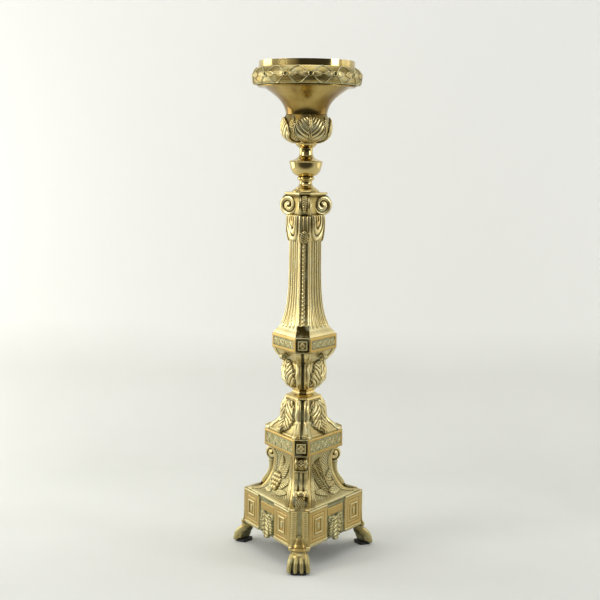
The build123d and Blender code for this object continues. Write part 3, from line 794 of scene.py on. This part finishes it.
def shaft():
    """Waisted stem with fluted faces and a rope down the channel of each corner strip."""
    low, high = low_high("shaft")
    rows = (
        (low, 46, 10.2), (321.5, 43.6, 9.8), (327, 37.6, 9.2), (332, 34.2, 8.8), (338, 31.2, 8.4),
        (347, 28.2, 8), (362, 25, 7.5), (385, 22.9, 7.1), (415, 21.9, 7), (high, 21.8, 7),
    )
    form = ThreeSided(outline(rows, 210), 112, 40)
    t, x, z, half, foot_top = form.t, form.x, form.z, form.half, 333
    in_flute = ((t + FLUTE_FIELD) / (2 * FLUTE_FIELD / FLUTES)) % 1 - 0.5
    round_end = np.hypot(in_flute / 0.39, unit((foot_top - z) / 4.5))
    flute = np.sqrt(unit(1 - round_end**2)) * (abs(t) < FLUTE_FIELD) * (z > foot_top - 4.5)
    groove = bell((abs(t) - 0.93) * form.side, 0.8) * step_up(z, 330, 5)
    rope = 1.6 * bump(x, -0.6, 2.4) * bump((z / 5.4 + 0.25 * np.sign(x - 0.01)) % 1, 0.5, 0.5)
    strip = 1.2 * bell(abs(x) - half + 1.4, 1) - 0.7 * inside_box(x, 0, half - 2.6, 1) + rope
    foot = 1 - step_up(z, foot_top, 2)
    scales = 0.5 * np.cos(x * 2.2) * np.cos(z * 2)
    strip = strip * (1 - foot) + (scales - 0.9) * foot * step_up(z, 319.5, 1)
    height = form.pick(strip, -1.5 * flute - 0.8 * groove)
    # Painted shade: the right half of each corner strip, turned from the light, is painted darker than the
    # left, and the scaled foot is painted dark as well.
    shaded = np.maximum(hollows(height) * np.where(x > 0.8, 1, 0.3), 0.8 * foot)
    recess = form.pick(shaded, unit(0.36 * flute**5 + 0.35 * groove))
    stand_in("shaft", form.cast(height, recess=recess, dust=form.pick(0.15 * recess * (1 - foot), 0.06)))


def capital():
    """Leafy drop and slim waist under a slab, with a scroll on each corner."""
    low, high = low_high("capital")
    rows = (
        (low - 1, 22, 6.2), (low + 4, 24.8, 7.2), (462, 26.4, 7.8), (476, 27, 8.2), (486, 26, 8.2),
        (489, 17.5, 6), (500, 16, 5.6), (511, 18.5, 6.2), (516, 27, 8),
    )
    slab_rows = (
        (515, 27, 7.4), (516, 30, 8), (518, 30.8, 8.2), (519, 30.2, 8), (high, 29.6, 7.8),
    )
    form = ThreeSided(outline(rows, 132), 96, 40)
    x, z = form.x, form.z
    hang = 1 - step_up(z, 487, 1.5)
    drop = np.hypot(x / 18, np.clip((480 - z) / 32, 0, 2))
    layers = abs(np.sin(pi * unit(drop) * 3)) ** 0.8 * (drop < 1)
    face = hang * (2.9 * smooth((1 - drop) * 5) * layers - 1.2)
    reeds = bump((x / form.half * 1.5 + 0.5) % 1, 0.5, 0.5)
    palmette = leaf(x, z - low - 0.5, 6.6, 17, 2.4, 3.2)
    height = form.pick(1.6 * reeds * step_up(z, low + 13, 3) * hang + palmette, face)
    gold = form.pick(0, 0.5 * hang * (drop < 0.3))
    # Painted shade: the slim waist under the slab is painted a little darker than the drop.
    core = form.cast(height, recess=unit(hollows(height, 5) + 0.15 * (1 - hang)), gold=gold)
    slab = ThreeSided(outline(slab_rows, 26), 60, 20, soften=1).cast(0)
    scroll = volute((SCROLL_OUT, SCROLL_UP), 14.6, 14.6, 16.4, 1.9, 1.3, 1.9, 110)
    stand_in("capital", core, slab, *thrice(scroll), *thrice(leaf_over_scroll()))


def leaf_over_scroll():
    """A narrow leaf that runs down the channel of a capital's scroll."""
    top = radians(80)
    turn = np.linspace(radians(-50), top, 70)[:, None]
    x = np.linspace(-4.2, 4.2, 30)[None]
    base = stacked(x, -(SCROLL_OUT + 0.4 + 13.4 * np.cos(turn)), SCROLL_UP + 13.5 * np.sin(turn))
    x, run = np.broadcast_arrays(x, (top - turn) * 12.8)
    return plaque(base, leaf(x, run, 4.4, 28, 2, 3) - 0.3)


# ---- Round cup: bulb and gallery band ----

BULB_R = 34
GARLAND_REPEATS = 14
BAND_R, BAND_INNER_R = 76, 67.2


def turned(line, columns):
    """A turned surface from (height, radius) rows, and the angle of each column."""
    angle = np.linspace(-pi, pi, columns, endpoint=False)[None]
    z, r = line[:, :1], line[:, 1:2]
    return stacked(r * np.cos(angle), r * np.sin(angle), z), angle


def leaf_bulb():
    """Four broad veined leaves with rolled edges, and narrow ones that show between them."""
    low, high = low_high("leaf_bulb")
    rows = ((low, 18.4), (low + 3, 26), (600, 32.6), (609, 34.4), (617, 33.4), (623, 30.6), (high, 28.2))
    base, angle = turned(profile(rows, 150), 560)
    quarter = pi / 2
    turn = (angle + radians(78) + quarter / 2) % quarter - quarter / 2
    x, y = turn * BULB_R, base[..., 2] - low
    tall = high - low - 4.5
    v = unit(y / tall)
    edge = 25.5 * np.sqrt(unit(1 - (unit(v - 0.38) / 0.62) ** 2)) * (0.62 + 0.38 * smooth(v / 0.4))
    u = abs(x) / np.maximum(edge, 0.2)
    phase = y / 5.2 - abs(x) * (0.25 + 0.85 * v) / 4.7
    veins = abs(np.cos(pi * phase)) ** 0.6 * (u < 0.82) * (abs(x) > 2.4)
    blade = 1 + 1.5 * veins + 2.3 * bell(u - 0.90, 0.075) + 1.6 * bump(abs(x), 1.1, 1)
    between = (quarter / 2 - abs(turn)) * BULB_R
    narrow = leaf(between, y, 8, tall + 1, 1.3, 3.4)
    height = blur(np.maximum(blade * smooth((1 - u) * 12), narrow), 1)
    # Painted shade: outside the broad leaves, where the narrow ones show between them, the cup is painted
    # darker.
    stand_in("leaf_bulb", casting(base, height, recess=unit(hollows(height, 5) + 0.2 * (u > 1))))


def gallery_band():
    """Rounded band under a net of ribbons, with a pierced berry at each crossing and long leaves."""
    low, high = low_high("gallery_band")
    outside = ((low, 71), (low + 1.4, 74), (672.5, 75.4), (680, BAND_R), (686.5, 73.4), (high, 68.9))
    line = profile(outside, 96)
    run = travelled(line)
    tall = run[-1]
    seen = np.append(np.ones(len(line)), [0, 0])[:, None]
    base, angle = turned(np.concatenate([line, [(high - 0.6, BAND_INNER_R), (low, BAND_INNER_R)]]), 1000)
    pitch = 2 * pi / GARLAND_REPEATS
    period = pitch * BAND_R
    along = ((angle + radians(84)) / pitch + 0.5) % 1 * period - period / 2
    along, y = np.broadcast_arrays(along, (np.append(run, [tall, tall]) - tall / 2)[:, None])
    reach = abs(along) / (period / 2)
    sway = 0.46 * tall * (0.25 * reach + 0.75 * np.sin(pi / 2 * reach) ** 1.6)
    ribbon = bump((abs(y) - sway) / np.sqrt(1 + (0.9 * smooth(reach * 2)) ** 2), 0, 0.75)
    from_berry = np.hypot(along, y)
    hole = bump(from_berry, 0, 1.8)
    berry = 1.9 * bump(from_berry, 2.7, 1.4) - 2 * hole
    leaves = np.zeros_like(y)
    start = 0.14
    for lean, length in ((0, 1), (0.13, 0.86), (-0.13, 0.86), (0.30, 0.62), (-0.30, 0.62)):
        across = y - lean * abs(along)
        width = 1.7 * np.sin(pi * unit((reach - start) / (length - start))) ** 0.7
        blade = bump(across / np.maximum(width, 0.05), 0, 1) - 0.4 * bump(across, 0, 0.5)
        leaves = np.maximum(leaves, (1.7 - abs(lean)) * blade * (reach > start) * (reach < length))
    body = np.where(from_berry < 4.1, berry, np.maximum(1.2 * ribbon, leaves))
    on_outside = smooth(tall / 2 - abs(y)) * seen
    lip = bump(y, -0.47 * tall, 1.3) * seen
    height = np.maximum(body * on_outside, 0.8 * lip)
    # Painted shade: the ground between ribbons and leaves and the hole in each berry are painted dark.
    ground = 0.34 * (1 - unit(np.maximum(ribbon * 1.5, leaves))) * (abs(y) < 0.44 * tall)
    recess = unit(np.maximum(0.6 * hollows(height, 4), ground) + hole)
    dust = np.maximum(0.55 * ribbon * on_outside, 0.5 * lip)
    points = (base + normals(base) * height[..., None]).reshape(-1, 3)
    quads = grid_quads(*height.shape, loop=True)
    stand_in("gallery_band", part(points, quads, recess=recess.ravel(), dust=dust.ravel()))


# ---- Base body, its reliefs and brackets ----

BODY_LOW, BODY_HIGH = low_high("base_body")
BODY_ROWS = (
    (BODY_LOW, 88.4, 14), (86.5, 82, 13.6), (91, 65, 12.8), (97, 57.5, 12), (105, 52, 11.2),
    (120, 45.2, 10.5), (137, 42.8, 10.5), (BODY_HIGH, 49.6, 11),
)
BODY_WALL = 3
RELIEF_LOW, RELIEF_HIGH, RELIEF_HALF = 88.5, 149, 31


def base_body():
    """Body with ridged edges round each face, and a plain hollow seen from below."""
    form = ThreeSided(outline(BODY_ROWS, 150), 168, 26)
    x, z = form.x, form.z
    from_edge = form.side - abs(x)
    ridges = sum(bump(from_edge, at, 0.95) for at in (6.4, 8.8, 11.2))
    field = step_up(from_edge, 12.6, 1.2) * step_up(z, BODY_LOW + 4, 2)
    strokes = (z + 0.9 * abs(x)) / 3.9 + 0.25 * np.sin(x / 3)
    grain = 0.7 * abs(np.sin(pi * strokes)) ** 0.7
    foot_line = bump(z, BODY_LOW + 1.8, 1.3)
    height = form.pick(0.6 * foot_line, 1.1 * ridges + field * (grain - 0.8) + 0.8 * foot_line)
    border = (from_edge > 5.2) * (1 - field)
    dust = form.pick(0.05, 0.20 * field + 0.30 * border * (1 - unit(ridges)))
    gold = form.pick(0.25, 0.22 * (from_edge < 5.2))
    outside = form.cast(height, recess=unit(hollows(height, 4) + 0.10 * field), dust=dust, gold=gold)
    outside["triangles"] = outside["triangles"][x.shape[1]:]
    thinner = (0, BODY_WALL, BODY_WALL / ROOT3)
    # Painted shade: the inside wall, seen from below, is painted dark.
    inner = ThreeSided(outline(np.array(BODY_ROWS)[::-1] - thinner, 60), 40, 10, soften=0)
    stand_in("base_body", outside, part(inner.base.reshape(-1, 3), grid_quads(*inner.x.shape), recess=0.8))


def grape_relief(x, z):
    """A bunch of grapes low on one side, with vine leaves that sweep up over the face."""
    leaves = spray(x, z, (
        ((6, 112), -0.10, 8, 34, 2.2, -4), ((3, 108), -0.50, 8.5, 40, 2.4, -5),
        ((0, 100), -0.95, 8, 30, 2.2, -4), ((16, 98), 1.3, 5.5, 16, 1.8, 2),
        ((-2, 93.5), -1.5, 4.5, 26, 1.8, 1), ((14, 92.5), 1.5, 4, 22, 1.6, 1),
    ))
    bunch = np.zeros_like(x)
    for row, count in enumerate((3, 4, 3, 2)):
        for k in range(count):
            r = np.hypot(x - 9 - (k - (count - 1) / 2) * 6.4, z - (114.5 - row * 5.7))
            bunch = np.maximum(bunch, 5 * bump(r, 0, 3.9) ** 0.8)
    return np.where(np.hypot((x - 9) / 14, (z - 107) / 14.5) < 1, bunch, leaves)


def wheat_relief(x, z):
    """Long ears of wheat that hang down over the face, with leaves at their foot."""
    height = spray(x, z, (
        ((-4, 93), -1, 7, 26, 2.6, -4), ((-10, 92.5), -1.5, 4.5, 22, 2, -1),
        ((2, 93), 1.25, 5, 26, 2.2, 3), ((-6, 100), -0.55, 6.5, 30, 2.2, -4),
    ))
    pitch = 4.6
    for foot, lean, bend in (((-7, 93), 0.30, 3), ((-3, 92), 0.52, 4)):
        across, along = leaning(x, z, foot, lean, 55, bend)
        ear = np.zeros_like(x)
        for sign in (-1, 1):
            beat = (along - 1.5 * abs(across)) % pitch - pitch / 2
            grain = 1 - ((sign * across - 2.5) / 2.6) ** 2 - (beat / 2) ** 2
            ear = np.maximum(ear, 4 * np.sqrt(unit(grain)))
        inside = abs(across) < 7.5
        awns = 2.2 * abs(np.sin(pi * (along - 1.8 * abs(across)) / pitch)) * inside
        ear = np.maximum(ear, awns) * (along > 4) * (along < 52)
        height = np.where(inside & (along > 3) & (along < 53), ear, height)
    return height


def reliefs():
    """Cast ornament on the faces: wheat on the right, grapes on the back and left."""
    line = profile(BODY_ROWS, 400)
    z = np.linspace(RELIEF_LOW, RELIEF_HIGH, 210)[:, None]
    away = np.interp(z, line[:, 0], line[:, 1] / 2 + line[:, 2] * ROOT3 / 2)
    base = stacked(np.linspace(RELIEF_HALF, -RELIEF_HALF, 210)[None], away, z)
    x, z = base[..., 0], base[..., 2]
    edge = np.interp(z, [RELIEF_LOW, 91, 97, 105, 120, RELIEF_HIGH], [31, 31, 30.5, 29.5, 25.5, 25])
    fade = smooth((edge - abs(x)) / 1.5) * smooth((z - 89) / 1.5) * smooth((148.5 - z) / 2)
    wheat, grapes = (
        cut_out(base, motif(x, z) * fade, 0.05, 0, -1.2, 1.4, 0.80, 0.38, 10)
        for motif in (wheat_relief, grape_relief)
    )
    on_faces("relief", wheat, grapes, grapes)


def brackets():
    """Scroll under the band, a fluted strap, a curled husk and a textured foot."""
    rows = (
        (85, 86.8), (87.5, 80), (91, 70), (96, 63.8), (100, 61.6), (105, 58.4),
        (109, 55.4), (114, 52.4), (120, 50.8), (132.5, 51.4),
    )
    widths = ([85, 92, 101, 112, 122, 132], [8, 9.6, 11.4, 11.2, 9.6, 9])
    base, t = corner_strip(profile(rows, 190), widths, 70)
    x, z = base[..., 0], base[..., 2]
    fluted = step_up(z, 104, 2)
    flutes = bump((abs(t) - 0.32) / 0.14, 0, 1) * fluted * (z < 129.5)
    edge = 0.9 * bump(abs(t), 0.86, 0.13) * fluted
    shelf = 1.4 * bump(z, 130.6, 1.5)
    knob = 3.6 * bump(np.hypot(x / 5.4, (z - 101.5) / 4.2), 0, 1)
    husk = 2 * bump(z, 99.5, 6) * bump(abs(t), 0.66, 0.34)
    tongue_half = 6.4
    tongue = (1 - step_up(z, 98, 3)) * step_up(tongue_half, abs(x), 0.8)
    lattice = abs(np.sin((z + x) * 0.95)) * abs(np.sin((z - x) * 0.95))
    height = 0.2 - 1.7 * flutes + edge + shelf + np.maximum(knob, husk) + tongue * (1.4 - 0.8 * lattice)
    beside = (1 - fluted) * (abs(x) > tongue_half) * (z < 97)
    # Painted shade: the flutes, the textured tongue and the plain sides beside it at the foot are painted
    # darker.
    recess = unit(hollows(height, 4, False) + 0.30 * flutes + 0.5 * beside + 0.25 * tongue)
    strap = plaque(base, height, 8, recess=recess, dust=0.2 * fluted * (1 - flutes))
    scroll_r, scroll_up = 48.6, 141.6
    roll = np.linspace(radians(-62), radians(42), 90)[:, None]
    across = np.linspace(-3.6, 3.6, 30)[None]
    band = stacked(across, -(scroll_r + 9 * np.cos(roll)), scroll_up + 9.4 * np.sin(roll))
    crossed = np.maximum(*(bump((roll * 9 + way * across) % 4.2, 2.1, 0.9) for way in (1, -1)))
    # Painted shade: the gaps between the crossed strands of the roll are painted dark.
    woven = plaque(band, crossed - 0.4, 1.2, recess=0.75 * (1 - crossed))
    on_corners("bracket", strap, volute((scroll_r, scroll_up), 9.6, 10, 15.8, 1.5, 1.6, 1.6, 90), woven)


# ---- Plinth, pendants and feet ----

PLINTH_CORNER, PLINTH_HALF, PLINTH_WALL = 90.6, 14.2, 3.4
DECK_THICK, DECK_REACH = 4, 20
RECESS_HALF, BLOCK_AT = 25, 48.6
BLOCK_STEPS = ((16.4, 17.6), (15, 16.2), (9.6, 11.2), (7.2, 8.8), (2.6, 4.6))


def plinth():
    """Breakfront plinth: framed end blocks, a sunk middle with a gilt panel, and a hollow underside painted
    dark as shade.
    """
    low, high = low_high("plinth")
    deck = high - DECK_THICK
    corner, half = PLINTH_CORNER, PLINTH_HALF
    shelf, inner = ((corner - inset, half - inset / ROOT3) for inset in (DECK_REACH, PLINTH_WALL))
    rows = (
        (deck, *shelf), (deck, *inner), (low, *inner), (low, corner, half), (high, corner, half),
        (high, *shelf), (deck, *shelf),
    )
    line = straight(rows, (8, 24, 4, 96, 10, 4))
    form = ThreeSided(line, 190, 24, soften=1)
    x, z, wide = form.x, form.z, abs(form.x)
    front = (line[:, 1] > corner - 0.05)[:, None]
    y = z - (low + high) / 2 - 1
    edge, border, ring, panel, key = (inside_box(wide - BLOCK_AT, y, *size, 0.9) for size in BLOCK_STEPS)
    pale = ring - panel + key
    blocks = 0.5 * (border - edge) + 1.1 * (ring - panel) - 0.3 * panel + key
    bar = inside_box(x, z - (high - 12.5), 21, 5.6)
    in_recess = wide < RECESS_HALF
    lip = step_up(low + 4, z, 0.8) + step_up(z, high - 1.8, 0.8)
    face = np.where(in_recess, -3.2 + 1.8 * bar, blocks) + 0.7 * lip * ~in_recess
    height = form.pick(0, face) * front
    framed = np.where(in_recess, bar, 0.80 - 0.65 * pale - 0.25 * (edge - border))
    gold = form.pick(0.35, 0.75 * unit(framed) * (1 - lip)) * front
    away = 1 - step_up(wide, RECESS_HALF, 0.6)
    dust = form.pick(0.2, 0.35 * pale + 0.55 * away * (1 - bar) + 0.30 * lip) * front
    # Painted shade: all but the outer faces, that is the top ledge under the body, the inside and the
    # underside, are painted darker.
    recess = unit(hollows(height, 3) + 0.5 * ~front)
    body = form.cast(np.clip(height, -3.4, 1.2), gold=unit(gold), dust=unit(dust), recess=recess)
    body["triangles"] = body["triangles"][:0]
    stand_in("plinth", body)


def pendants():
    """Drooping acanthus between two curls that hangs from the middle of each side."""
    low, high = low_high("pendant_back")
    away = PLINTH_CORNER / 2 + PLINTH_HALF * ROOT3 / 2 - 3
    base = stacked(np.linspace(20, -20, 130)[None], away, np.linspace(low, high, 130)[:, None])
    x, drop = base[..., 0], high - base[..., 2]
    height = leaf(x, drop - 3, 12.5, high - low - 4, 4.6, 6.2, 0.7)
    for side in (-x, x):
        side_leaf = placed_leaf(side, drop, (5, 2), 0.50, 7, 30, 4, -4)
        dx, dy = side - 13.5, drop - 5.5
        r = np.hypot(dx, dy)
        curl = 3.6 * bump(r, 0, 5.6) * (0.6 + 0.4 * np.cos(np.arctan2(dy, dx) - r * 1.6))
        height = np.maximum(height, np.maximum(side_leaf, curl))
    on_faces("pendant", *[cut_out(base, height, 0.08, 0.8, -0.7, 0.9, 0.75, 0.58, 14)] * 3)


def ellipsoid(centre, size):
    """Points and faces of an egg-shaped lump, in millimetres."""
    ball = bmesh.new()
    bmesh.ops.create_icosphere(ball, subdivisions=3, radius=1)
    points = np.array([v.co[:] for v in ball.verts]) * size + centre
    faces = np.array([[v.index for v in f.verts] for f in ball.faces])
    ball.free()
    return part(points, (), faces)


def melted(parts, voxel, passes):
    """The parts fused into one smooth lump, and the direction its surface faces at each point."""
    piece = joined("melting", parts)
    remesh = piece.modifiers.new("fuse", "REMESH")
    remesh.mode, remesh.voxel_size = "VOXEL", voxel * MM
    even = piece.modifiers.new("even", "SMOOTH")
    even.factor, even.iterations = 0.5, passes
    shape = bpy.data.meshes.new_from_object(piece.evaluated_get(bpy.context.evaluated_depsgraph_get()))
    points = np.array([v.co[:] for v in shape.vertices]) / MM
    outward = np.array([v.normal[:] for v in shape.vertices])
    quads, triangles = ([p.vertices[:] for p in shape.polygons if p.loop_total == n] for n in (4, 3))
    bpy.data.objects.remove(piece)
    bpy.data.meshes.remove(shape)
    return part(points, quads, triangles), outward


TOE_PITCH, TOE_TOP, TOE_DROP, TOE_REACH = 8.3, 25, 18.6, 12.4


def toe_spread(step):
    """Space between toes as a share of the pitch, from the ankle at 0 to the tips at 1."""
    return 0.66 + 0.38 * np.sqrt(step)


def paw():
    """Four-toed animal's paw under a narrow ankle, facing the front."""
    lumps = [
        ellipsoid((0, -93, 27.5), (10.6, 7, 7.5)), ellipsoid((0, -96.5, 20.5), (12, 8, 8)),
        ellipsoid((0, -100.5, 12.5), (13.6, 7.6, 8.5)), ellipsoid((0, -102, 8), (14, 7.4, 5)),
    ]
    for i in (-1.5, -0.5, 0.5, 1.5):
        back = 1.7 * (abs(i) - 0.5)
        for step in np.linspace(0, 1, 14):
            out = 96 + TOE_REACH * sin(0.5 * pi * step)
            knuckle = exp(-(((step - 0.45) / 0.22) ** 2))
            place = (TOE_PITCH * i * toe_spread(step), back - out, TOE_TOP - TOE_DROP * step)
            lumps.append(ellipsoid(place, (3.6 + 0.6 * knuckle, 4.2 + 1.4 * knuckle, 4)))
        lumps.append(ellipsoid((8.5 * i, back - 110.2, 5.4), (2.9, 3.2, 3.2)))
    lump, outward = melted(lumps, 0.55, 4)
    x, y, z = lump["points"].T
    step = unit((TOE_TOP - z) / TOE_DROP)
    shell = 87.5 + TOE_REACH * np.sin(0.5 * pi * step)
    # Painted shade: the inner side and undersides of the paw, where the hollow of the casting lies in
    # shadow, and the creases between the toes are painted dark, over a base of painted shade on the whole
    # paw.
    behind = smooth((shell + y) / 4) * smooth((28 - z) / 3) + smooth((-outward[:, 2] - 0.75) / 0.2)
    toe = x / (TOE_PITCH * toe_spread(step))
    from_toe = abs((toe + 8) % 1 - 0.5)
    between = smooth((from_toe - 0.28) / 0.14) * smooth((23 - z) / 6) * (abs(toe) < 1.6)
    lump["recess"] = unit(0.28 + 0.6 * between + behind)
    lump["dust"] = 0.25 * smooth((26 - z) / 8)
    return lump


def corner_pilaster():
    """Two beaded strips with a dusty groove between them, spreading into a cuff over the paw."""
    rows = ((29.6, 96.4), (33.5, 96.6), (39, 94.6), (45, 93.4), (52, 93), (84, 93.2))
    widths = ([29.6, 32, 35, 42, 50, 84], [13, 14.8, 14.6, 13, 12.4, 11.6])
    base, t = corner_strip(profile(rows, 170), widths, 100)
    x, z, wide = base[..., 0], base[..., 2], abs(t)
    base[..., 1] += 2.2 * t**2 * smooth((46 - z) / 12)
    split = step_up(z, 46, 5)
    groove = bump(t, 0, 0.30) * split
    strips = 1.4 * bump(wide, 0.65, 0.34)
    beads = 0.5 * bump((z / 3.2) % 1, 0.5, 0.5) * bump(wide, 0.65, 0.22)
    tongue = 2.2 * bump(x, 0, 3 + 0.30 * np.clip(50 - z, 0, 20)) * (z < 50)
    fan = 0.9 * bump(wide, 0.72, 0.18) * (1 - split)
    hem = 1.3 * bump(z, 31.4, 1.8)
    knobs = 1.8 * bump(np.hypot(abs(x) - 12.6, z - 33.4), 0, 2.8)
    height = (strips + beads) * split - 1.2 * groove + np.maximum(tongue, fan) + np.maximum(hem, knobs)
    # Painted shade: the groove between the strips is painted darker.
    recess = unit(hollows(height, 4, False) + 0.25 * groove)
    gold = np.clip(0.5 * tongue / 2.2 + 0.25 * (1 - split) + 0.2 * strips / 1.4 * split, 0, 0.6)
    dust = unit(0.45 * groove + 0.12 * split * bump(wide, 0.65, 0.3))
    return plaque(base, height, 2.6, recess=recess, gold=gold, dust=dust)


frieze_band("lower_band", 59.2, 10, 19)
frieze_band("upper_band", 47.2, 10.3, 15)
leaf_dome()
leaf_vase()
shaft()
capital()
leaf_bulb()
gallery_band()
base_body()
reliefs()
brackets()
plinth()
pendants()
on_corners("foot", paw(), corner_pilaster())

dress_cad_nodes()
add_stage()
add_camera()
for light_name, light in LIGHTS.items():
    add_light(light_name, *light)
add_room()
